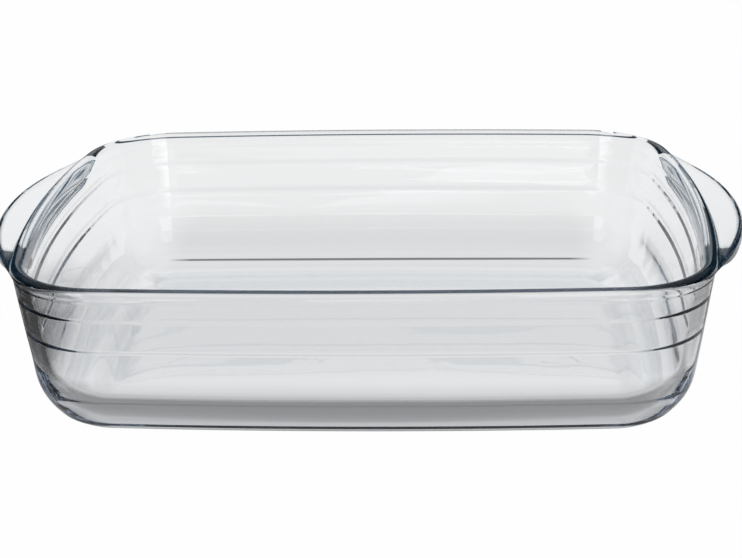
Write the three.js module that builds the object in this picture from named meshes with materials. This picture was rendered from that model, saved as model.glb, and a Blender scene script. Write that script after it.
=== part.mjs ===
// A clear roasting dish in pressed glass: a rectangular body with rounded corners, a beaded rim and a
// wing handle at each end. The real dish is a single moulding. Here it is divided into its named zones,
// which meet face to face on shared points, so that the zones together are the whole piece of glass.
// Millimetres, +Z up, X from handle to handle, with the origin in the middle of the flat underside.

import * as THREE from "three";
import { mergeVertices } from "three/addons/utils/BufferGeometryUtils.js";

// Outline of the rim, seen from above
const rimLength = 300;
const rimWidth = 230;
const cornerRadius = 42;
const endBowRadius = 485;
const sideBowRadius = 1950;

// Section through rim, wall and base
const height = 72;
const wallThickness = 5.4;
const rimOverhang = 0.6;
const rimSkirt = 0.6;
const wallDraft = THREE.MathUtils.degToRad(7.2);
const innerDraft = THREE.MathUtils.degToRad(6.4);
const rimLedgeDepth = 6.2;
const rimLedgeInset = 0.3;
const rimLedgeHeight = 0.9;
const upperLedgeDepth = 14.1;
const lowerLedgeDepth = 28.2;
const ledgeInset = 0.75;
const ledgeHeight = 1.6;
const baseRadius = 26.5;
const baseThickness = 7;
const floorRadius = 26;
const panelMargin = 1;

// Wing handles
const wingReach = 15;
const wingSpan = 164;
const wingThickness = 6.5;
const wingRise = 1.5;
const wingBlend = 2.5;

// Facets along each curve
const endFacets = 10;
const sideFacets = 6;
const cornerFacets = 8;
const rimFacets = 8;
const baseFacets = 6;
const wingEdgeFacets = 6;

// Levels and widths that follow from the sizes above
const rimThickness = wallThickness + rimOverhang;
const rimRadius = rimThickness / 2;
const rimFoot = height - rimRadius - rimSkirt;
const wingTop = height - rimRadius;
const wingBottom = wingTop - wingThickness;

const glass = new THREE.MeshStandardMaterial({
  color: 0xdfe8ea,
  roughness: 0.04,
  metalness: 0,
  transparent: true,
  opacity: 0.35,
});

// Plan: every side and corner is an arc, and neighbouring arcs share a tangent, so a line drawn
// at any inset from the rim is made of arcs about the same centres.

function cornerCentre(endCentre, sideCentre) {
  const toEnd = endBowRadius - cornerRadius;
  const toSide = sideBowRadius - cornerRadius;
  const between = sideCentre.clone().sub(endCentre);
  const distance = between.length();
  const along = (toEnd ** 2 - toSide ** 2 + distance ** 2) / (2 * distance);
  const across = Math.sqrt(toEnd ** 2 - along ** 2);
  const direction = between.divideScalar(distance);
  const sideways = new THREE.Vector2(-direction.y, direction.x);
  return endCentre.clone().addScaledVector(direction, along).addScaledVector(sideways, across);
}

const endCentre = new THREE.Vector2(rimLength / 2 - endBowRadius, 0);
const sideCentre = new THREE.Vector2(0, rimWidth / 2 - sideBowRadius);
const corner = cornerCentre(endCentre, sideCentre);
const endAngle = corner.clone().sub(endCentre).angle();
const sideAngle = corner.clone().sub(sideCentre).angle();

// The arcs in order, anticlockwise from the right-hand end: the zone of wall that each one carries, and
// the angle at which it hands over to the next.
function planArcs() {
  const turn = Math.PI; // half of the way round
  const endLeft = new THREE.Vector2(-endCentre.x, 0);
  const sideFront = new THREE.Vector2(0, -sideCentre.y);
  const cornerAt = (x, y) => new THREE.Vector2(x * corner.x, y * corner.y);
  const end = { radius: endBowRadius, facets: endFacets };
  const side = { radius: sideBowRadius, facets: sideFacets };
  const bend = { radius: cornerRadius, facets: cornerFacets };
  return [
    { zone: "wall_right", ...end, centre: endCentre, to: endAngle },
    { zone: "corner_rear_right", ...bend, centre: cornerAt(1, 1), to: sideAngle },
    { zone: "wall_rear", ...side, centre: sideCentre, to: turn - sideAngle },
    { zone: "corner_rear_left", ...bend, centre: cornerAt(-1, 1), to: turn - endAngle },
    { zone: "wall_left", ...end, centre: endLeft, to: turn + endAngle },
    { zone: "corner_front_left", ...bend, centre: cornerAt(-1, -1), to: turn + sideAngle },
    { zone: "wall_front", ...side, centre: sideFront, to: 2 * turn - sideAngle },
    { zone: "corner_front_right", ...bend, centre: cornerAt(1, -1), to: 2 * turn - endAngle },
  ];
}

// A station is a place on the plan with its outward direction: its points lie at an inset and a level.
const stations = [];
const zones = [];
let arcStart = -endAngle;
for (const { zone, centre, radius, facets, to } of planArcs()) {
  zones.push({ name: zone, first: stations.length, last: stations.length + facets });
  for (let i = 0; i < facets; i += 1) {
    const angle = THREE.MathUtils.lerp(arcStart, to, i / facets);
    stations.push({ centre, radius, outward: new THREE.Vector2(Math.cos(angle), Math.sin(angle)) });
  }
  arcStart = to;
}

function stationAt(index) {
  const count = stations.length;
  return stations[(index + count) % count];
}

function stationRun(first, last) {
  return Array.from({ length: last - first + 1 }, (_, i) => stationAt(first + i));
}

function place(station, { inset, level }) {
  const flat = station.centre.clone().addScaledVector(station.outward, station.radius - inset);
  return new THREE.Vector3(flat.x, flat.y, level);
}

// Section: points are an inset from the outside of the rim and a level above the underside.

function arcPoints(centre, radius, from, to, facets) {
  return Array.from({ length: facets + 1 }, (_, i) => {
    const angle = THREE.MathUtils.lerp(from, to, i / facets);
    return {
      inset: centre.inset - radius * Math.cos(angle),
      level: centre.level - radius * Math.sin(angle),
    };
  });
}

// The outside of the wall leans in evenly from the rim's foot down to the round of the base.
function outerWall() {
  const tangentLevel = baseRadius * (1 - Math.sin(wallDraft));
  const foot = { inset: rimOverhang, level: rimFoot };
  const tangentInset = foot.inset + (foot.level - tangentLevel) * Math.tan(wallDraft);
  const centre = { inset: tangentInset + baseRadius * Math.cos(wallDraft), level: baseRadius };
  const points = [foot, ...arcPoints(centre, baseRadius, wallDraft, Math.PI / 2, baseFacets)];
  return { points, centre };
}

// Where a falling line of points passes a level, and which of its points comes next.
function pointAtLevel(points, level) {
  const next = points.findIndex((point) => point.level < level);
  const [above, below] = [points[next - 1], points[next]];
  const share = (above.level - level) / (above.level - below.level);
  return { next, point: { inset: THREE.MathUtils.lerp(above.inset, below.inset, share), level } };
}

// The wall has a point of its own where the underside of a wing meets it.
const outer = outerWall();
const wingRoot = pointAtLevel(outer.points, wingBottom);
outer.points.splice(wingRoot.next, 0, wingRoot.point);

// The inside of the wall leans in over three shallow ledges to the round of the floor, which starts where
// the last lean would be a setback away from the level of the floor.
function innerWall() {
  const slope = Math.tan(innerDraft);
  const points = [{ inset: rimThickness + rimSkirt * slope, level: rimFoot }];
  const descend = (level) => {
    const above = points.at(-1);
    return { inset: above.inset + (above.level - level) * slope, level };
  };
  const addLedge = (depth, inset, fall) => {
    const edge = descend(height - depth);
    points.push(edge, { inset: edge.inset + inset, level: edge.level - fall });
  };
  addLedge(rimLedgeDepth, rimLedgeInset, rimLedgeHeight);
  addLedge(upperLedgeDepth, ledgeInset, ledgeHeight);
  addLedge(lowerLedgeDepth, ledgeInset, ledgeHeight);
  const setback = floorRadius * Math.tan((Math.PI / 2 - innerDraft) / 2);
  const centre = { inset: descend(baseThickness).inset + setback, level: baseThickness + floorRadius };
  points.push(...arcPoints(centre, floorRadius, innerDraft, Math.PI / 2, baseFacets));
  return { points, centre };
}

const inner = innerWall();
const wallInside = inner.points[0];
const wallOutside = outer.points[0];

const rimSection = [
  { inset: 0, level: rimFoot },
  ...arcPoints({ inset: rimRadius, level: height - rimRadius }, rimRadius, 0, -Math.PI, rimFacets),
  wallInside,
  wallOutside,
];

// The wall reaches in under the floor as far as the wider of its two rounds.
const panelInset = Math.max(inner.centre.inset, outer.centre.inset) + panelMargin;
const wallSection = [
  { inset: panelInset, level: 0 },
  ...outer.points.toReversed(),
  ...inner.points,
  { inset: panelInset, level: baseThickness },
];

// Where a wing joins the body: down the side of the rim, in under its foot and down the wall.
const wingSeat = [rimSection[1], rimSection[0], ...outer.points.slice(0, wingRoot.next + 1)];

// How far a wing stands out from the rim at a station: a bow along the rim, eased into it at both ends.
function wingExtent(station) {
  const angle = Math.atan2(Math.abs(station.outward.y), Math.abs(station.outward.x));
  const roundCorner = Math.max(angle - endAngle, 0) * cornerRadius;
  const fromMiddle = Math.min(angle, endAngle) * endBowRadius + roundCorner;
  const bow = wingReach * (1 - (2 * fromMiddle / wingSpan) ** 2);
  const ease = Math.max(wingBlend - Math.abs(bow), 0) ** 2 / (4 * wingBlend);
  return Math.max(bow, 0) + ease;
}

// A wing's section at a station: it rises a little to its round edge. Where the wing runs out, its
// section closes onto its seat.
function wingSection(station) {
  const extent = wingExtent(station);
  const edgeRadius = wingThickness / 2;
  const bulge = Math.min(edgeRadius, extent);
  const share = Math.min(1, extent / edgeRadius);
  const rise = wingRise * extent / wingReach;
  const seatUpward = wingSeat.toReversed();
  const edge = Array.from({ length: wingEdgeFacets + 1 }, (_, i) => {
    const along = i / wingEdgeFacets;
    const angle = Math.PI * (along - 0.5);
    const seat = seatUpward[Math.round(along * (seatUpward.length - 1))];
    const outward = extent - bulge * (1 - Math.cos(angle));
    const level = wingBottom + rise + edgeRadius * (1 + Math.sin(angle));
    return {
      inset: THREE.MathUtils.lerp(seat.inset, -outward, share),
      level: THREE.MathUtils.lerp(seat.level, level, share),
    };
  });
  return [...edge, ...wingSeat];
}

// The stations from one end of a wing to the other, out to where it has run into the rim.
function wingStations(middle) {
  const runOut = (step) => {
    let index = middle;
    while (wingExtent(stationAt(index)) > 0) index += step;
    return index;
  };
  return stationRun(runOut(-1), runOut(1));
}

// Solids: a section carried along a run of stations. A section turns anticlockwise when outward is
// drawn to the right. Each quad is split along the same diagonal in whichever zone it is drawn.
function sweep(run, sectionAt, { closed = false, capped = false } = {}) {
  const sections = run.map(sectionAt);
  const size = sections[0].length;
  const corners = run.flatMap((station, i) => sections[i].map((point) => place(station, point)));
  const faces = [];
  const strips = closed ? run.length : run.length - 1;
  for (let i = 0; i < strips; i += 1) {
    const next = (i + 1) % run.length;
    for (let j = 0; j < size; j += 1) {
      const k = (j + 1) % size;
      const [from, to] = [sections[i][j], sections[i][k]];
      const rising = to.level > from.level || (to.level === from.level && to.inset > from.inset);
      const [a, b, c, d] = [i * size + j, next * size + j, next * size + k, i * size + k];
      faces.push(...(rising ? [[a, b, c], [a, c, d]] : [[a, b, d], [b, c, d]]));
    }
  }
  if (capped) {
    const outline = sections[0].map(({ inset, level }) => new THREE.Vector2(-inset, level));
    const endStart = (run.length - 1) * size;
    for (const [a, b, c] of THREE.ShapeUtils.triangulateShape(outline, [])) {
      faces.push([a, b, c], [endStart + a, endStart + c, endStart + b]);
    }
  }
  const geometry = new THREE.BufferGeometry().setFromPoints(corners);
  geometry.setIndex(faces.flat());
  return withoutSlivers(mergeVertices(geometry));
}

// Leaves out faces that closed up to a line where a wing runs out.
function withoutSlivers(geometry) {
  const kept = [];
  const { array } = geometry.index;
  for (let i = 0; i < array.length; i += 3) {
    const [a, b, c] = array.slice(i, i + 3);
    if (a !== b && b !== c && c !== a) kept.push(a, b, c);
  }
  geometry.setIndex(kept);
  geometry.computeVertexNormals();
  return geometry;
}

function basePanel() {
  const edge = { inset: panelInset, level: 0 };
  const outline = new THREE.Shape(stations.map((station) => place(station, edge)));
  return new THREE.ExtrudeGeometry(outline, { depth: baseThickness, bevelEnabled: false });
}

function handle(zoneName) {
  const zone = zones.find(({ name }) => name === zoneName);
  return sweep(wingStations(zone.first + endFacets / 2), wingSection);
}

const dish = new THREE.Group();

function addZone(name, geometry) {
  const mesh = new THREE.Mesh(geometry, glass);
  mesh.name = name;
  dish.add(mesh);
}

addZone("base_panel", basePanel());
for (const { name, first, last } of zones) {
  addZone(name, sweep(stationRun(first, last), () => wallSection, { capped: true }));
}
addZone("rim", sweep(stations, () => rimSection, { closed: true }));
addZone("handle_right", handle("wall_right"));
addZone("handle_left", handle("wall_left"));

export default dish;
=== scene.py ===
# %% [markdown]
# # A clear roasting dish in pressed glass
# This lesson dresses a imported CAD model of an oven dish. The CAD model divides the dish into named
# zones so that each can be measured. The real dish left its mould as a single piece of glass, and
# light only bends properly through a single closed skin. So the lesson draws one fine skin over all
# the zones, from the same sizes, and gives it the look of real ovenware glass.

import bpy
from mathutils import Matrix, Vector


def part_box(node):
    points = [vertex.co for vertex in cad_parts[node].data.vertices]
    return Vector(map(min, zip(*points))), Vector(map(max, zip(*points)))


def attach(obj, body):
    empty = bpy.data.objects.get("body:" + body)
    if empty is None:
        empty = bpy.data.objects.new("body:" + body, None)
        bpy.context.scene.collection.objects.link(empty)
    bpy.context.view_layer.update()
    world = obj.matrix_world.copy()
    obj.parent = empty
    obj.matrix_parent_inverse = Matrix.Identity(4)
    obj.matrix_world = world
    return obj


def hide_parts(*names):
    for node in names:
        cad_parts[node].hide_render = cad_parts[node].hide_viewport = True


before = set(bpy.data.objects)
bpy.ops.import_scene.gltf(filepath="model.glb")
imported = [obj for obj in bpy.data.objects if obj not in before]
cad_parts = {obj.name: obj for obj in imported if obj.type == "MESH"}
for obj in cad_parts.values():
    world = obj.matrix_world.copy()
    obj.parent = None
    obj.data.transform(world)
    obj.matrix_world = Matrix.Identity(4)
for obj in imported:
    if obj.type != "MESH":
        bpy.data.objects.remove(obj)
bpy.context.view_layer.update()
print(f"{len(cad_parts)} CAD zones loaded")

# %% [markdown]
# ## Sizes
# Whatever the CAD model can tell is read from its boxes: how long, wide and high the rim is, how thick
# the base, how far a wing stands out. What a box cannot tell is repeated here as a real size: radii,
# the lean of the wall, the shallow ledges on its inside. Blender works in metres, so millimetres carry
# a factor.

# %% Sizes
import math

import bpy
from mathutils import Matrix, Vector, noise

MM = 0.001

rim_low, rim_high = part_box("rim")
wing_low, wing_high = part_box("handle_right")

half_length = rim_high.x
half_width = rim_high.y
height = rim_high.z
rim_foot = rim_low.z
base_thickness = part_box("base_panel")[1].z
wing_reach = wing_high.x - rim_high.x
wing_bottom = wing_low.z

corner_radius = 42 * MM
end_bow_radius = 485 * MM
side_bow_radius = 1950 * MM
print(f"rim {2 * half_length / MM:.0f} x {2 * half_width / MM:.0f} mm, {height / MM:.0f} mm high")

# %% [markdown]
# ## Camera
# The photograph was taken with a long lens from a little above the dish, so its parallel edges hardly
# close up. The camera's place comes from matching the outline of the dish, and it leans by about a
# degree, as a camera in the hand does.

# %% Camera
camera_place = Vector((33.4, -674.5, 296.1)) * MM
camera_target = Vector((0.4, 0, 33.15)) * MM
camera_lean = math.radians(-1.19)
lens_length = 76.6

scene = bpy.context.scene
scene.view_settings.view_transform = "Standard"

camera_data = bpy.data.cameras.new("camera")
camera_data.lens = lens_length
camera = bpy.data.objects.new("camera", camera_data)
scene.collection.objects.link(camera)
aim = (camera_target - camera_place).to_track_quat("-Z", "Y").to_matrix()
turned = aim @ Matrix.Rotation(camera_lean, 3, "Z")
camera.matrix_world = Matrix.Translation(camera_place) @ turned.to_4x4()
scene.camera = camera
print(f"camera {(camera_target - camera_place).length:.2f} m from the dish")

# %% [markdown]
# ## Nodes and colours
# A material is a small network of nodes. One helper adds any node, sets its settings, and links or fills
# its inputs. Colours are written as the hex values that a paint program shows, so one function turns
# them into the linear light values that Blender mixes. Levels of plain light are greys from 0 to 1.

# %% Helpers for materials
def add_node(tree, kind, inputs=None, **settings):
    node = tree.nodes.new(kind)
    for name, value in settings.items():
        setattr(node, name, value)
    for socket, value in (inputs or {}).items():
        if isinstance(value, bpy.types.NodeSocket):
            tree.links.new(value, node.inputs[socket])
        else:
            node.inputs[socket].default_value = value
    return node


def linear(hex_colour):
    channels = [int(hex_colour[i:i + 2], 16) / 255 for i in (1, 3, 5)]
    return [c / 12.92 if c <= 0.04045 else ((c + 0.055) / 1.055) ** 2.4 for c in channels] + [1]


def grey(level):
    return [level] * 3 + [1]


def new_material(name):
    material = bpy.data.materials.new(name)
    material.use_nodes = True
    material.node_tree.nodes.clear()
    output = material.node_tree.nodes.new("ShaderNodeOutputMaterial")
    return material, material.node_tree, output


def light_along(tree, measure, stops):
    """Light that changes with a measure, from stop to stop of (measure, colour)."""
    start, end = stops[0][0], stops[-1][0]
    share = add_node(tree, "ShaderNodeMapRange", {"Value": measure, "From Min": start, "From Max": end})
    ramp = add_node(tree, "ShaderNodeValToRGB", {"Fac": share.outputs[0]})
    marks = ramp.color_ramp.elements
    for place, _ in stops[1:-1]:
        marks.new((place - start) / (end - start))
    for mark, (_, colour) in zip(marks, stops):
        mark.color = colour
    return ramp.outputs["Color"]


print("helpers ready")

# %% [markdown]
# ## White sheet
# Clear glass has no colour of its own to show: the eye reads it by what it bends. So it is photographed
# on a lit white sheet, and whatever is dark round the sheet is gathered by the thick edges of the glass
# into dark lines. Wherever there is no glass the camera sees plain machine-made paper, which is matt and
# shows no glare, with the fine bump of its fibres, drawn coarser than real ones so that they can show.
# A large flat mesh is enough for it, because it has no edge in the picture.

# %% Floor and paper
floor_size = 12
floor_gap = 0.05 * MM
fibre_spacing = 0.8 * MM
fibre_height = 0.05 * MM
fibre_strength = 0.3
paper_glow = 0.985

floor_mesh = bpy.data.meshes.new("floor")
side = floor_size / 2
floor_mesh.from_pydata([(-side, -side, -floor_gap), (side, -side, -floor_gap),
                        (side, side, -floor_gap), (-side, side, -floor_gap)], [], [(0, 1, 2, 3)])
floor = bpy.data.objects.new("floor", floor_mesh)
scene.collection.objects.link(floor)

paper, sheet, paper_output = new_material("machine-made white paper")
floor_mesh.materials.append(paper)
position = add_node(sheet, "ShaderNodeNewGeometry").outputs["Position"]
fibres = add_node(sheet, "ShaderNodeTexNoise", {
    "Vector": position, "Scale": 1 / fibre_spacing, "Detail": 3})
fibre_bump = add_node(sheet, "ShaderNodeBump", {
    "Height": fibres.outputs[0], "Strength": fibre_strength, "Distance": fibre_height})
matt = add_node(sheet, "ShaderNodeBsdfDiffuse", {
    "Color": linear("#f7f7f7"), "Normal": fibre_bump.outputs[0]})
glow = add_node(sheet, "ShaderNodeEmission", {"Color": linear("#ffffff"), "Strength": 1})
seen_paper = add_node(sheet, "ShaderNodeMixShader", {0: paper_glow, 1: matt.outputs[0], 2: glow.outputs[0]})
print(f"floor {floor_size} m square")

# %% [markdown]
# ## The light that the glass gathers
# Through the glass the sheet isn't evenly white, because light and shade are painted into its glow. It is
# painted brightest behind the dish, most of all at its rear corners, a painted shadow falls off under it,
# and painted shade darkens it at the left as a black card would and at the right as a grey one would,
# where glass photographers set them to draw the edges. These levels are set against distances across
# the sheet, in metres.

# %% Painted side shade and fall-off
rear_corner_light = 0.92
rear_starts = 0.04
rear_full = 0.12
end_starts = 0.105
end_full = 0.13

spot = add_node(sheet, "ShaderNodeSeparateXYZ", {0: position})
mirrored = add_node(sheet, "ShaderNodeVectorMath", {0: position}, operation="ABSOLUTE")
sideways = add_node(sheet, "ShaderNodeSeparateXYZ", {0: mirrored.outputs[0]})
# painted shade: the sheet's glow darkens toward the left and right, in place of a black and a grey card
painted_card_shade = light_along(sheet, spot.outputs["X"], [
    (-0.230, grey(0.06)), (-0.200, grey(0.10)), (-0.180, grey(0.18)), (-0.170, grey(0.28)),
    (-0.160, grey(0.50)), (-0.150, grey(0.85)), (-0.140, grey(0.97)), (0.150, grey(1)),
    (0.168, grey(0.96)), (0.185, grey(0.77)), (0.210, grey(0.53)), (0.260, grey(0.42))])
# painted shadow under the dish and painted light behind it, along the sheet
fall_off = light_along(sheet, spot.outputs["Y"], [
    (-0.045, grey(0.88)), (-0.033, grey(0.83)), (-0.010, grey(0.77)), (0.034, grey(0.76)),
    (0.045, grey(0.79)), (0.058, grey(0.90)), (0.080, grey(0.88)), (0.092, grey(0.79)),
    (0.130, grey(0.76)), (0.150, grey(0.81)), (0.200, grey(0.87)), (0.270, grey(0.90)),
    (0.350, grey(0.92))])
behind = add_node(sheet, "ShaderNodeMapRange", {
    "Value": spot.outputs["Y"], "From Min": rear_starts, "From Max": rear_full})
painted_card_shade_in_front = add_node(sheet, "ShaderNodeMix", {0: behind.outputs[0], 6: painted_card_shade, 7: grey(1)},
                      data_type="RGBA")
# painted extra light at the rear corners of the dish
at_end = add_node(sheet, "ShaderNodeMapRange", {
    "Value": sideways.outputs["X"], "From Min": end_starts, "From Max": end_full})
at_rear_corner = add_node(sheet, "ShaderNodeMath", {0: behind.outputs[0], 1: at_end.outputs[0]},
                          operation="MULTIPLY")
fall_off = add_node(sheet, "ShaderNodeMix", {
    0: at_rear_corner.outputs[0], 6: fall_off, 7: grey(rear_corner_light)}, data_type="RGBA")
sheet_light = add_node(sheet, "ShaderNodeVectorMath", {0: painted_card_shade_in_front.outputs[2], 1: fall_off.outputs[2]},
                       operation="MULTIPLY").outputs[0]
print("side cards and fall-off set")

# %% [markdown]
# The foot of the dish keeps light off the paper, and that shade is painted into the sheet's glow. In
# front, the painted shade starts where the flat underside ends and follows its rounded corners, so it is
# measured from a smaller rounded box. Behind, only a narrow painted line of shade stays under the curve
# of the base.

# %% Painted shade at the foot
shade_box = (0.104, 0.045, 0)
shade_starts = -0.045
shade_full = -0.06
end_shade_starts = 0.122
end_shade_full = 0.145
end_shade_share = 0.75
line_fades = 0.1
line_ends = 0.113

from_box = add_node(sheet, "ShaderNodeVectorMath", {0: mirrored.outputs[0], 1: shade_box},
                    operation="SUBTRACT")
past_box = add_node(sheet, "ShaderNodeVectorMath", {0: from_box.outputs[0], 1: (0, 0, 0)},
                    operation="MAXIMUM")
distance = add_node(sheet, "ShaderNodeVectorMath", {0: past_box.outputs[0]}, operation="LENGTH")
# painted shadow in front of the foot, darkest past the flat underside
front_shade = light_along(sheet, distance.outputs["Value"], [
    (0, grey(0.97)), (0.0220, grey(0.90)), (0.0300, grey(0.78)), (0.0395, grey(0.70)),
    (0.0415, grey(0.66)), (0.0430, grey(0.50)), (0.0450, grey(0.42)), (0.0490, grey(0.36)),
    (0.0600, grey(0.30)), (0.0750, grey(0.34)), (0.1100, grey(0.80))])
in_front = add_node(sheet, "ShaderNodeMapRange", {
    "Value": spot.outputs["Y"], "From Min": shade_starts, "From Max": shade_full})
past_end = add_node(sheet, "ShaderNodeMapRange", {
    "Value": sideways.outputs["X"], "From Min": end_shade_starts, "From Max": end_shade_full,
    "To Min": 1, "To Max": end_shade_share})
shaded = add_node(sheet, "ShaderNodeMath", {0: in_front.outputs[0], 1: past_end.outputs[0]},
                  operation="MULTIPLY")
front_shade = add_node(sheet, "ShaderNodeMix", {0: shaded.outputs[0], 6: grey(1), 7: front_shade},
                       data_type="RGBA")

# painted shadow line under the rear curve of the base
painted_rear_shadow_line = light_along(sheet, spot.outputs["Y"], [
    (0.1025, grey(1)), (0.1038, grey(0.2)), (0.1062, grey(0.2)), (0.1078, grey(1))])
line_end = add_node(sheet, "ShaderNodeMapRange", {
    "Value": sideways.outputs["X"], "From Min": line_fades, "From Max": line_ends})
painted_rear_shadow_line = add_node(sheet, "ShaderNodeMix", {0: line_end.outputs[0], 6: painted_rear_shadow_line, 7: grey(1)},
                     data_type="RGBA")
for shade in (front_shade, painted_rear_shadow_line):
    sheet_light = add_node(sheet, "ShaderNodeVectorMath", {0: sheet_light, 1: shade.outputs[2]},
                           operation="MULTIPLY").outputs[0]
print("shade at the foot set")

# %% [markdown]
# Two softboxes stand in front of the dish, and a painted reflection of them is added to the sheet where
# it would mirror them. The rear corners of the dish catch that painted shine as an upright white streak
# each. A shine is a wedge of bearings seen from the corner that catches it, sharp on one side and soft
# on the other. Each is given by the corner's place across the sheet and the bearings of its sharp and
# its soft side, in degrees.

# %% Painted shine of the softboxes on the sheet
shine_level = 1.4
shine_edge = 0.06
shine_core = 0.3
corner_back = 0.1
shine_starts = -0.205
shine_full = -0.235
painted_shines = [(-0.108, 9.6, 26), (0.113, -28.5, -44)]


# a painted reflection of a softbox: a bright wedge added to the sheet's glow
def painted_shine_wedge(corner_x, sharp_side, soft_side):
    across = add_node(sheet, "ShaderNodeMath", {0: spot.outputs["X"], 1: corner_x}, operation="SUBTRACT")
    ahead = add_node(sheet, "ShaderNodeMath", {0: corner_back, 1: spot.outputs["Y"]}, operation="SUBTRACT")
    bearing = add_node(sheet, "ShaderNodeMath", {0: across.outputs[0], 1: ahead.outputs[0]},
                       operation="ARCTAN2")
    share = add_node(sheet, "ShaderNodeMapRange", {
        "Value": bearing.outputs[0],
        "From Min": math.radians(sharp_side), "From Max": math.radians(soft_side)})
    return light_along(sheet, share.outputs[0], [
        (0, grey(0)), (shine_edge, grey(shine_level)), (shine_core, grey(shine_level)), (1, grey(0))])


clear_of_dish = add_node(sheet, "ShaderNodeMapRange", {
    "Value": spot.outputs["Y"], "From Min": shine_starts, "From Max": shine_full})
# add the painted reflections to the sheet's glow, only in front of the dish
for corner_x, sharp_side, soft_side in painted_shines:
    wedge = painted_shine_wedge(corner_x, sharp_side, soft_side)
    shine = add_node(sheet, "ShaderNodeVectorMath", {0: wedge, "Scale": clear_of_dish.outputs[0]},
                     operation="SCALE")
    sheet_light = add_node(sheet, "ShaderNodeVectorMath", {0: sheet_light, 1: shine.outputs[0]},
                           operation="ADD").outputs[0]

# the sheet glows with the painted light and shade above for every ray but the camera's
lit_sheet = add_node(sheet, "ShaderNodeEmission", {"Color": sheet_light, "Strength": 1})
path = add_node(sheet, "ShaderNodeLightPath")
either = add_node(sheet, "ShaderNodeMixShader", {
    0: path.outputs["Is Camera Ray"], 1: lit_sheet.outputs[0], 2: seen_paper.outputs[0]})
sheet.links.new(either.outputs[0], paper_output.inputs["Surface"])
print("sheet lit")

# %% [markdown]
# ## Room
# The room is bright overhead and behind the dish and dims to a slate blue in front of it. Close to the
# sheet its light is dimmer. It could be built from walls and lamps, but glass only mirrors where light
# comes from, so a few ramps along a direction do the same and are easier to tune.

# %% Room
toward_light = (0.1, 0.55, 0.75)

world = bpy.data.worlds.new("studio")
scene.world = world
world.use_nodes = True
room = world.node_tree
room.nodes.clear()
direction = add_node(room, "ShaderNodeTexCoord").outputs["Generated"]
heading = add_node(room, "ShaderNodeSeparateXYZ", {0: direction})
facing = add_node(room, "ShaderNodeVectorMath", {0: direction, 1: toward_light}, operation="DOT_PRODUCT")
overhead = light_along(room, facing.outputs["Value"], [
    (-0.5, linear("#16303f")), (-0.1, linear("#243d4a")), (0.1, linear("#6f808a")),
    (0.3, linear("#b9c3c8")), (0.5, linear("#e9edef")), (0.9, linear("#eef1f2"))])
dimmer_below = light_along(room, heading.outputs["Z"], [
    (0, linear("#8ea6b4")), (0.24, linear("#8ea6b4")), (0.31, grey(1))])
room_light = add_node(room, "ShaderNodeVectorMath", {0: overhead, 1: dimmer_below}, operation="MULTIPLY")
print("room lit")

# %% [markdown]
# ## Side boards
# Dark blue boards stand at both sides of the dish, darkest at the foot. Their mirror images in the rounded
# rim and in the ends of the wings are the navy lines that outline the dish. They are a part of the room's
# light and not objects, so they never stand in the picture: the camera sees the room as plain white.

# %% Side boards
board_shift = 0.05
boards = light_along(room, heading.outputs["Z"], [
    (0, linear("#25485c")), (0.40, linear("#2a4f64")), (0.50, linear("#808f99")),
    (0.80, linear("#a0abb1")), (0.95, linear("#e9edef"))])
from_middle = add_node(room, "ShaderNodeMath", {0: heading.outputs["X"], 1: board_shift}, operation="ADD")
to_side = add_node(room, "ShaderNodeMath", {0: from_middle.outputs[0]}, operation="ABSOLUTE")
beside = light_along(room, to_side.outputs[0], [(0.18, grey(0)), (0.25, grey(1))])
room_light = add_node(room, "ShaderNodeMix", {
    0: beside, 6: room_light.outputs[0], 7: boards}, data_type="RGBA")

soft_room = add_node(room, "ShaderNodeBackground", {"Color": room_light.outputs[2], "Strength": 1})
white_room = add_node(room, "ShaderNodeBackground", {"Color": linear("#ffffff"), "Strength": 1})
path = add_node(room, "ShaderNodeLightPath")
either = add_node(room, "ShaderNodeMixShader", {
    0: path.outputs["Is Camera Ray"], 1: soft_room.outputs[0], 2: white_room.outputs[0]})
add_node(room, "ShaderNodeOutputWorld", {"Surface": either.outputs[0]})
print("side boards set")

# %% [markdown]
# ## Softboxes
# Two soft panels stand in front of the dish and give a shine above the level of the sheet. An area lamp
# is such a panel: its size sets how broad its mirror image in the glass is. Each is given by its bearing
# from the dish in degrees and its width in metres.

# %% Softboxes
softbox_distance = 1.5
softbox_height = 0.9
softbox_power = 4.5
softboxes = [(-36, 0.5), (20, 0.62)]

for bearing, width in softboxes:
    panel = bpy.data.lights.new("softbox", "AREA")
    panel.shape = "RECTANGLE"
    panel.size = width
    panel.size_y = softbox_height
    panel.energy = softbox_power * width
    softbox = bpy.data.objects.new("softbox", panel)
    turn = math.radians(bearing)
    softbox.location = (softbox_distance * math.sin(turn), -softbox_distance * math.cos(turn),
                        softbox_height / 2)
    softbox.rotation_euler = (math.pi / 2, 0, turn)
    scene.collection.objects.link(softbox)
    print(f"softbox {width:.2f} m wide at {bearing} degrees")

# %% [markdown]
# ## Long light paths
# Inside thick glass, light is turned back by one surface after another before it gets out. A renderer
# gives up after a few turns and leaves black. Letting it follow light for longer fills the edges with
# the deep slate blue that real glass has there.

# %% Light paths
scene.cycles.max_bounces = 32
scene.cycles.glossy_bounces = 24
scene.cycles.transmission_bounces = 32
print(f"light followed for {scene.cycles.max_bounces} turns")

# %% [markdown]
# ## Plan
# Seen from above, the rim is drawn with arcs only. Each long side and each end is a very flat arc, each
# corner a tight one, and neighbours share a tangent where they meet. A line at any inset from the rim is
# then made of arcs about the same centres, so one list of stations round the rim serves for every level
# of the dish. A station holds its arc's centre and radius, its outward direction, and its distance along
# the rim from the middle of the nearest end, which the wings need.

# %% Stations round the rim
end_spacing = 2.6 * MM
side_spacing = 3.6 * MM
corner_spacing = 1.5 * MM


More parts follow.
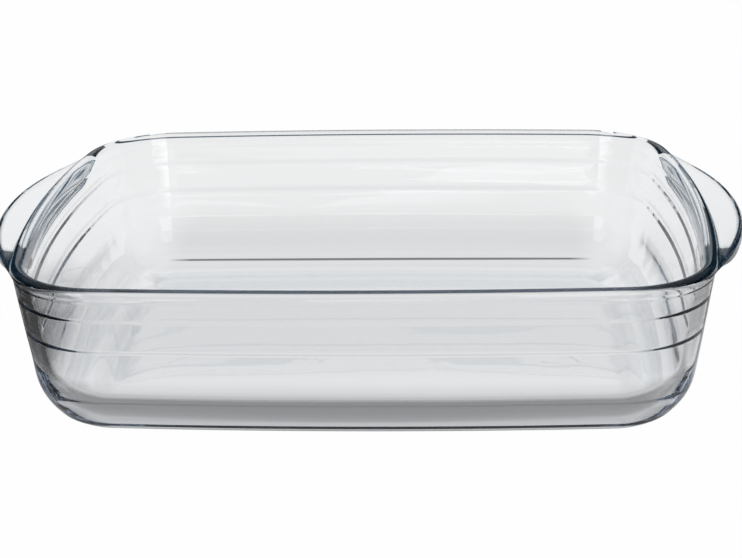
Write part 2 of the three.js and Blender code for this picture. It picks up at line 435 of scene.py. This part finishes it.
def corner_centre(end_x, side_y):
    to_end = end_bow_radius - corner_radius
    to_side = side_bow_radius - corner_radius
    between = Vector((-end_x, side_y))
    distance = between.length
    along = (to_end ** 2 - to_side ** 2 + distance ** 2) / (2 * distance)
    across = math.sqrt(to_end ** 2 - along ** 2)
    direction = between / distance
    return Vector((end_x, 0)) + direction * along + Vector((-direction.y, direction.x)) * across


end_x = half_length - end_bow_radius
side_y = half_width - side_bow_radius
corner = corner_centre(end_x, side_y)
end_angle = math.atan2(corner.y, corner.x - end_x)
side_angle = math.atan2(corner.y - side_y, corner.x)

stations = []


def walk_arc(centre, radius, start, stop, spacing):
    count = math.ceil((stop - start) * radius / spacing)
    for i in range(count):
        angle = start + (stop - start) * i / count
        outward = Vector((math.cos(angle), math.sin(angle)))
        lean = math.atan2(abs(outward.y), abs(outward.x))
        along = min(lean, end_angle) * end_bow_radius + max(lean - end_angle, 0) * corner_radius
        stations.append((Vector(centre), radius, outward, along))


half_turn = math.pi
full_turn = 2 * math.pi
walk_arc((end_x, 0), end_bow_radius, -end_angle, end_angle, end_spacing)
walk_arc((corner.x, corner.y), corner_radius, end_angle, side_angle, corner_spacing)
walk_arc((0, side_y), side_bow_radius, side_angle, half_turn - side_angle, side_spacing)
walk_arc((-corner.x, corner.y), corner_radius,
         half_turn - side_angle, half_turn - end_angle, corner_spacing)
walk_arc((-end_x, 0), end_bow_radius, half_turn - end_angle, half_turn + end_angle, end_spacing)
walk_arc((-corner.x, -corner.y), corner_radius,
         half_turn + end_angle, half_turn + side_angle, corner_spacing)
walk_arc((0, -side_y), side_bow_radius, half_turn + side_angle, full_turn - side_angle, side_spacing)
walk_arc((corner.x, -corner.y), corner_radius,
         full_turn - side_angle, full_turn - end_angle, corner_spacing)
print(f"{len(stations)} stations round the rim")

# %% [markdown]
# ## Section
# A cut through the wall is a line of corners, each rounded by as much as the mould rounds it: the base's
# big round, the beaded rim, the shallow ledges inside and the round of the floor. A rounding is a
# weighted curve between two tangents, which is a true arc where both are equally long.

# %% Rounded corners
usable_share = 0.98


def rounded(corners):
    """Points along a line of corners (inset, level, setback, count). Rounding starts and ends a setback
    away from the corner, or nearer where the straights beside it are too short for that."""
    places = [Vector(corner[:2]) for corner in corners]
    wanted = [corner[2] for corner in corners]
    allowed = list(wanted)
    for i in range(len(corners) - 1):
        space = usable_share * (places[i + 1] - places[i]).length
        both = wanted[i] + wanted[i + 1]
        if both > space:
            allowed[i] = min(allowed[i], wanted[i] * space / both)
            allowed[i + 1] = min(allowed[i + 1], wanted[i + 1] * space / both)
    points = [places[0]]
    for i in range(1, len(corners) - 1):
        back = (places[i - 1] - places[i]).normalized()
        onward = (places[i + 1] - places[i]).normalized()
        start = places[i] + back * allowed[i]
        stop = places[i] + onward * allowed[i]
        weight = math.sqrt(max(0, (1 - back.dot(onward)) / 2))
        count = corners[i][3]
        for k in range(count):
            t = k / (count - 1)
            shares = ((1 - t) ** 2, 2 * weight * t * (1 - t), t ** 2)
            points.append((start * shares[0] + places[i] * shares[1] + stop * shares[2]) / sum(shares))
    points.append(places[-1])
    return points


print("corner rounding ready")

# %% [markdown]
# The outside of the wall leans in straight to the base. The inside leans in over three ledges, whose
# steep little faces turn light back at the corners of the dish and so draw black strokes there. Each
# ledge is given by its depth under the rim, how far it steps in, and how far it falls.

# %% Wall
wall_draft = math.radians(7.2)
inner_draft = math.radians(6.4)
wall_thickness = 5.4 * MM
rim_overhang = 0.6 * MM
rim_thickness = wall_thickness + rim_overhang
rim_radius = rim_thickness / 2
ledges = [
    (6.2 * MM, 0.3 * MM, 0.9 * MM),
    (14.1 * MM, 0.75 * MM, 1.6 * MM),
    (28.2 * MM, 0.75 * MM, 1.6 * MM),
]
base_radius = 26.5 * MM
floor_radius = 26 * MM
panel_margin = 1 * MM


def outer_inset(level):
    return rim_overhang + (rim_foot - level) * math.tan(wall_draft)


def inner_inset(level, ledges_above):
    passed = ledges[:ledges_above]
    leaning = height - rim_radius - level - sum(fall for _, _, fall in passed)
    return rim_thickness + leaning * math.tan(inner_draft) + sum(step for _, step, _ in passed)


base_corner = outer_inset(0)
base_setback = base_radius * math.tan((math.pi / 2 - wall_draft) / 2)
floor_corner = inner_inset(base_thickness, len(ledges))
floor_setback = floor_radius * math.tan((math.pi / 2 - inner_draft) / 2)
panel_inset = floor_corner + floor_setback + panel_margin
print(f"floor starts {(floor_corner + floor_setback) / MM:.1f} mm in from the rim")

# %% [markdown]
# A wing is a longer way round between the foot of the rim's bead and the wall, so the same corners draw
# the wall with a wing and without one, and a wing grows out of the rim without a seam. Its outline is a
# bow along the end of the dish, eased into the rim at both ends, where the wing also thins down to the
# bead. A pair of values below is for the plain wall and for a wing that is fully formed.

# %% Section with a wing
wing_span = 164 * MM
wing_thickness = 6.5 * MM
wing_rise = 1.5 * MM
wing_blend = 2.5 * MM
wing_formed = 9 * MM
wing_top = wing_bottom + wing_thickness
root_setback = (0.35, 3.5)
edge_setback = (0.3, 3.1)
shoulder_setback = (0.1, 1.1)
bead_edge = 0.45 * MM
bead_shoulder = 0.85 * MM
bead_outer_setback = 2.6 * MM
bead_inner_setback = 2.9 * MM
ledge_softness = 0.45 * MM
base_points = 56


def wing_extent(along):
    bow = wing_reach * (1 - (2 * along / wing_span) ** 2)
    ease = max(wing_blend - abs(bow), 0) ** 2 / (4 * wing_blend)
    return max(bow, 0) + ease


def eased(low, high, value):
    share = min(1, max(0, (value - low) / (high - low)))
    return share * share * (3 - 2 * share)


def section(extent):
    formed = eased(0, wing_formed, extent)

    def between(plain, winged):
        return plain + (winged - plain) * formed

    rise = wing_rise * extent / wing_reach
    root = between(rim_foot, wing_bottom)
    edge = between(rim_foot + bead_edge, wing_top + rise)
    shoulder = between(rim_foot + bead_shoulder, wing_top)
    corners = [
        (panel_inset, 0, 0, 0),
        (base_corner, 0, base_setback, base_points),
        (outer_inset(root), root, between(*root_setback) * MM, 9),
        (-extent, root + rise, between(*edge_setback) * MM, 10),
        (-extent, edge, between(*edge_setback) * MM, 10),
        (0, shoulder, between(*shoulder_setback) * MM, 7),
        (0, height, bead_outer_setback, 11),
        (inner_inset(height, 0), height, bead_inner_setback, 11),
    ]
    for above, (depth, _, fall) in enumerate(ledges):
        top = height - depth
        foot = top - fall
        corners.append((inner_inset(top, above), top, ledge_softness, 5))
        corners.append((inner_inset(foot, above + 1), foot, ledge_softness, 5))
    corners.append((floor_corner, base_thickness, floor_setback, 20))
    corners.append((panel_inset, base_thickness, 0, 0))
    return rounded(corners)


plain_section = section(0)
print(f"{len(plain_section)} points in a plain section")

# %% [markdown]
# Where the bottom plate of the mould meets its ring, pressed glass keeps a low seam. Here it is a soft
# swelling round the base. It catches light at the foot of the dish and sends it along inside the floor,
# which leaves the dark line that the dish stands on.

# %% Seam round the base
seam_level = 7.0 * MM
seam_height = 0.22 * MM
seam_half_width = 2.6 * MM
round_centre = Vector((base_corner + base_setback, base_radius))


def with_seam(points):
    raised = []
    for i, point in enumerate(points):
        share = (point.y - seam_level) / seam_half_width
        lift = 0
        if i <= base_points and abs(share) < 1:
            lift = seam_height * (0.5 + 0.5 * math.cos(math.pi * share))
        raised.append(point + (point - round_centre).normalized() * lift)
    return raised


print(f"seam {seam_height / MM:.2f} mm high, {seam_level / MM:.1f} mm up")

# %% [markdown]
# Long straights get points in between, so that the glass can ripple there. Every section is divided as
# the plain one is, because neighbouring sections have to match point for point. The inside of the dish
# starts a few points past the top of the bead.

# %% Points between the corners
most_gap = 3.5 * MM
past_bead = 8
steps = [max(1, math.ceil((after - before).length / most_gap))
         for before, after in zip(plain_section, plain_section[1:])]
rim_top = max(range(len(plain_section)), key=lambda i: plain_section[i].y)
inside_from = sum(steps[:rim_top]) + past_bead


def divided(points):
    fine = []
    for before, after, count in zip(points, points[1:], steps):
        fine += [before.lerp(after, k / count) for k in range(count)]
    return fine + [points[-1]]


print(f"{sum(steps) + 1} points round each section")

# %% [markdown]
# ## Ripple of pressed glass
# Hot glass that meets a cooler mould sets in faint waves. They are some hundredths of a millimetre high,
# long along the wall and short down it, with small dimples on top, and stronger toward the ends, which
# the glass reaches last. They are real geometry here, because glass shows a wave by how it bends what
# lies behind. The rim and the wings, which are fire-polished, and the flat underside stay even.

# %% Ripple
ripple_height = 0.06 * MM
ripple_length = 45 * MM
ripple_drop = 13 * MM
dimple_height = 0.014 * MM
dimple_width = 12 * MM
end_gain = 1.5
gain_from = 0.6 * half_length
gain_full = 0.95 * half_length
inside_seed = 7.3
floor_curve = 12 * MM
even_under_rim = 4 * MM
rippled_under_rim = 9 * MM
even_over_foot = 1 * MM
rippled_over_foot = 12 * MM
even_under_wing = 1 * MM
rippled_under_wing = 8 * MM


def ripple(spot, seed):
    wave = Vector((spot.x / ripple_length, spot.y / ripple_length, spot.z / ripple_drop + seed))
    dimple = spot / dimple_width + Vector((0, 0, seed))
    gain = 1 + end_gain * eased(gain_from, gain_full, abs(spot.x))
    return gain * (ripple_height * noise.noise(wave) + dimple_height * noise.noise(dimple))


def inside_rippled(spot, outward):
    upright = eased(base_thickness, base_thickness + floor_curve, spot.z)
    fade = eased(height - even_under_rim, height - rippled_under_rim, spot.z)
    move = ripple(spot, inside_seed) * fade
    return spot + Vector((outward.x * upright, outward.y * upright, upright - 1)) * move


def outside_rippled(spot, outward):
    over_foot = eased(even_over_foot, rippled_over_foot, spot.z)
    under_wing = eased(wing_bottom - even_under_wing, wing_bottom - rippled_under_wing, spot.z)
    fade = over_foot * under_wing
    return spot + Vector((outward.x, outward.y, 0)) * ripple(spot, 0) * fade


print(f"ripple {ripple_height / MM:.2f} mm high over {ripple_length / MM:.0f} mm")

# %% [markdown]
# ## The glass skin
# Every station carries its section, which stands upright on the plan and faces outward. The flat floor
# and the flat underside are closed by rings that shrink to the middle. A column of points holds all of
# that for one station, from the middle of the underside to the middle of the floor.

# %% Points of the skin
flat_rings = 20
shrink = [(k + 1) / (flat_rings + 1) for k in range(flat_rings)]

columns = []
for centre, radius, outward, along in stations:
    line = []
    for i, point in enumerate(divided(with_seam(section(wing_extent(along))))):
        plan = centre + outward * (radius - point.x)
        spot = Vector((plan.x, plan.y, point.y))
        rippled = inside_rippled if i > inside_from else outside_rippled
        line.append(rippled(spot, outward))
    under = line[0]
    over = centre + outward * (radius - plain_section[-1].x)
    below = [Vector((under.x * share, under.y * share, 0)) for share in shrink]
    above = [Vector((over.x * share, over.y * share, base_thickness)) for share in reversed(shrink)]
    columns.append(below + line + [inside_rippled(spot, outward) for spot in above])
print(f"{len(columns)} columns of {len(columns[0])} points")

# %% [markdown]
# Neighbouring columns are joined by quads, and by triangles at the two middles. One closed skin round the
# whole dish is what lets light enter, bend and leave as it does in one piece of glass. It rides on the
# only body there is and stands for every zone of the CAD model.

# %% Mesh of the skin
per_column = len(columns[0])
vertices = [point for column in columns for point in column]
bottom_middle = len(vertices)
top_middle = bottom_middle + 1
vertices += [Vector((0, 0, 0)), Vector((0, 0, base_thickness))]
faces = []
for i in range(len(columns)):
    here = i * per_column
    there = (i + 1) % len(columns) * per_column
    faces.append((bottom_middle, there, here))
    faces += [(here + j, there + j, there + j + 1, here + j + 1) for j in range(per_column - 1)]
    faces.append((here + per_column - 1, there + per_column - 1, top_middle))

dish_mesh = bpy.data.meshes.new("dish")
dish_mesh.from_pydata(vertices, [], faces)
dish_mesh.shade_smooth()
dish = bpy.data.objects.new("dish", dish_mesh)
scene.collection.objects.link(dish)
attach(dish, "root")
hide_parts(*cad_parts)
print(f"dish: {len(vertices)} points, {len(faces)} faces")

# %% [markdown]
# ## Pressed soda-lime glass
# Oven dishes are pressed from clear soda-lime or borosilicate glass, whose index of refraction is close
# to 1.5. The surface is fire-polished, so it is almost perfectly smooth: a trace of roughness where it
# has been wiped, and the faint pebbling of the mould, one or two thousandths of a millimetre high. The
# body of the glass soaks up a little light, red most of all, which shows only on the long ways through
# the rim, the corners and the base.

# %% Glass
pebble_width = 3 * MM
pebble_height = 0.0015 * MM
smear_width = 25 * MM
clean_below = 0.45
wiped_above = 0.75
most_roughness = 0.012
glass_index = 1.5
soaked_up = 7.5

glass, tree, output = new_material("pressed soda-lime glass")
place = add_node(tree, "ShaderNodeTexCoord").outputs["Object"]
pebbles = add_node(tree, "ShaderNodeTexNoise", {"Vector": place, "Scale": 1 / pebble_width, "Detail": 1})
pebble_bump = add_node(tree, "ShaderNodeBump", {
    "Height": pebbles.outputs[0], "Strength": 1, "Distance": pebble_height})
smears = add_node(tree, "ShaderNodeTexNoise", {"Vector": place, "Scale": 1 / smear_width, "Detail": 2})
wiped = add_node(tree, "ShaderNodeMapRange", {
    "Value": smears.outputs[0], "From Min": clean_below, "From Max": wiped_above,
    "To Max": most_roughness})
surface = add_node(tree, "ShaderNodeBsdfPrincipled", {
    "Base Color": linear("#ffffff"), "IOR": glass_index, "Transmission Weight": 1,
    "Roughness": wiped.outputs[0], "Normal": pebble_bump.outputs[0]})
depth = add_node(tree, "ShaderNodeVolumeAbsorption", {
    "Color": linear("#6686a8"), "Density": soaked_up})
tree.links.new(surface.outputs[0], output.inputs["Surface"])
tree.links.new(depth.outputs[0], output.inputs["Volume"])
dish_mesh.materials.append(glass)
print(f"glass: {glass.name}")

# %% [markdown]
# The dressed dish has to be the size of the CAD model.

bpy.context.view_layer.update()
